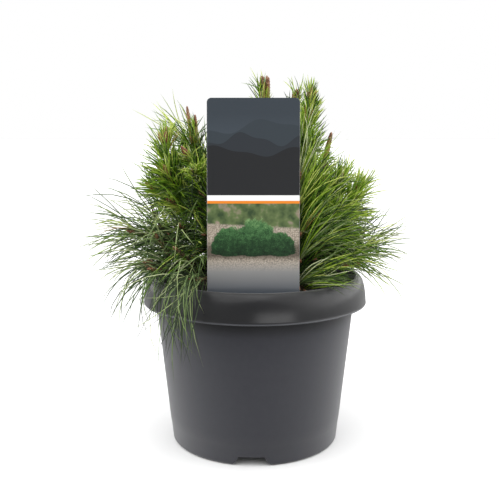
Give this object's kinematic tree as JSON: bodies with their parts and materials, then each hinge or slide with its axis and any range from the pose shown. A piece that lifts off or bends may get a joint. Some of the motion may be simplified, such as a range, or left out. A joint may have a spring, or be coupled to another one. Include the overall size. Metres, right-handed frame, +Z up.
{
  "type": "mugo pine in a nursery pot",
  "caption": "Young bushy mugo pine with long green needles in a round black-grey plastic nursery pot, with a tall plant label standing in the soil.",
  "frame": {"origin": "middle of the flat foot under the pot, on the ground", "axes": "+Z up along the pot's axis, -Y to the front where the label stands, +X to the right seen from the front"},
  "size_m": [0.3286, 0.2983, 0.3816],
  "materials": {
    "pot": "dark grey, slightly rough",
    "soil": "dark crumbly peat",
    "label": "printed card, satin",
    "bark": "scaly brown bark",
    "needles": "green, satin"
  },
  "bodies": {
    "root": {"pot": "pot", "soil": "soil", "plant_label": "label", "trunk": "bark", "bough_left_crown": "bark", "bough_left_candle": "bark", "bough_left_high": "bark", "bough_leader": "bark", "bough_right_high": "bark", "bough_right_twin": "bark", "bough_right_candle": "bark", "bough_right_crown": "bark", "bough_right_low": "bark", "bough_front_right": "bark", "bough_front_centre": "bark", "bough_left_low": "bark", "bough_left_middle": "bark", "bough_front_left": "bark", "bough_back_left": "bark", "bough_back": "bark", "bough_back_right": "bark", "bough_back_high": "bark", "bough_back_left_low": "bark", "bough_back_right_low": "bark", "bough_back_low": "bark", "needles_left_crown": "needles", "needles_left_candle": "needles", "needles_left_high": "needles", "needles_leader": "needles", "needles_right_high": "needles", "needles_right_twin": "needles", "needles_right_candle": "needles", "needles_right_crown": "needles", "needles_right_low": "needles", "needles_front_right": "needles", "needles_front_centre": "needles", "needles_left_low": "needles", "needles_left_middle": "needles", "needles_front_left": "needles", "needles_back_left": "needles", "needles_back": "needles", "needles_back_right": "needles", "needles_back_high": "needles", "needles_back_left_low": "needles", "needles_back_right_low": "needles", "needles_back_low": "needles"}
  },
  "joints": []
}
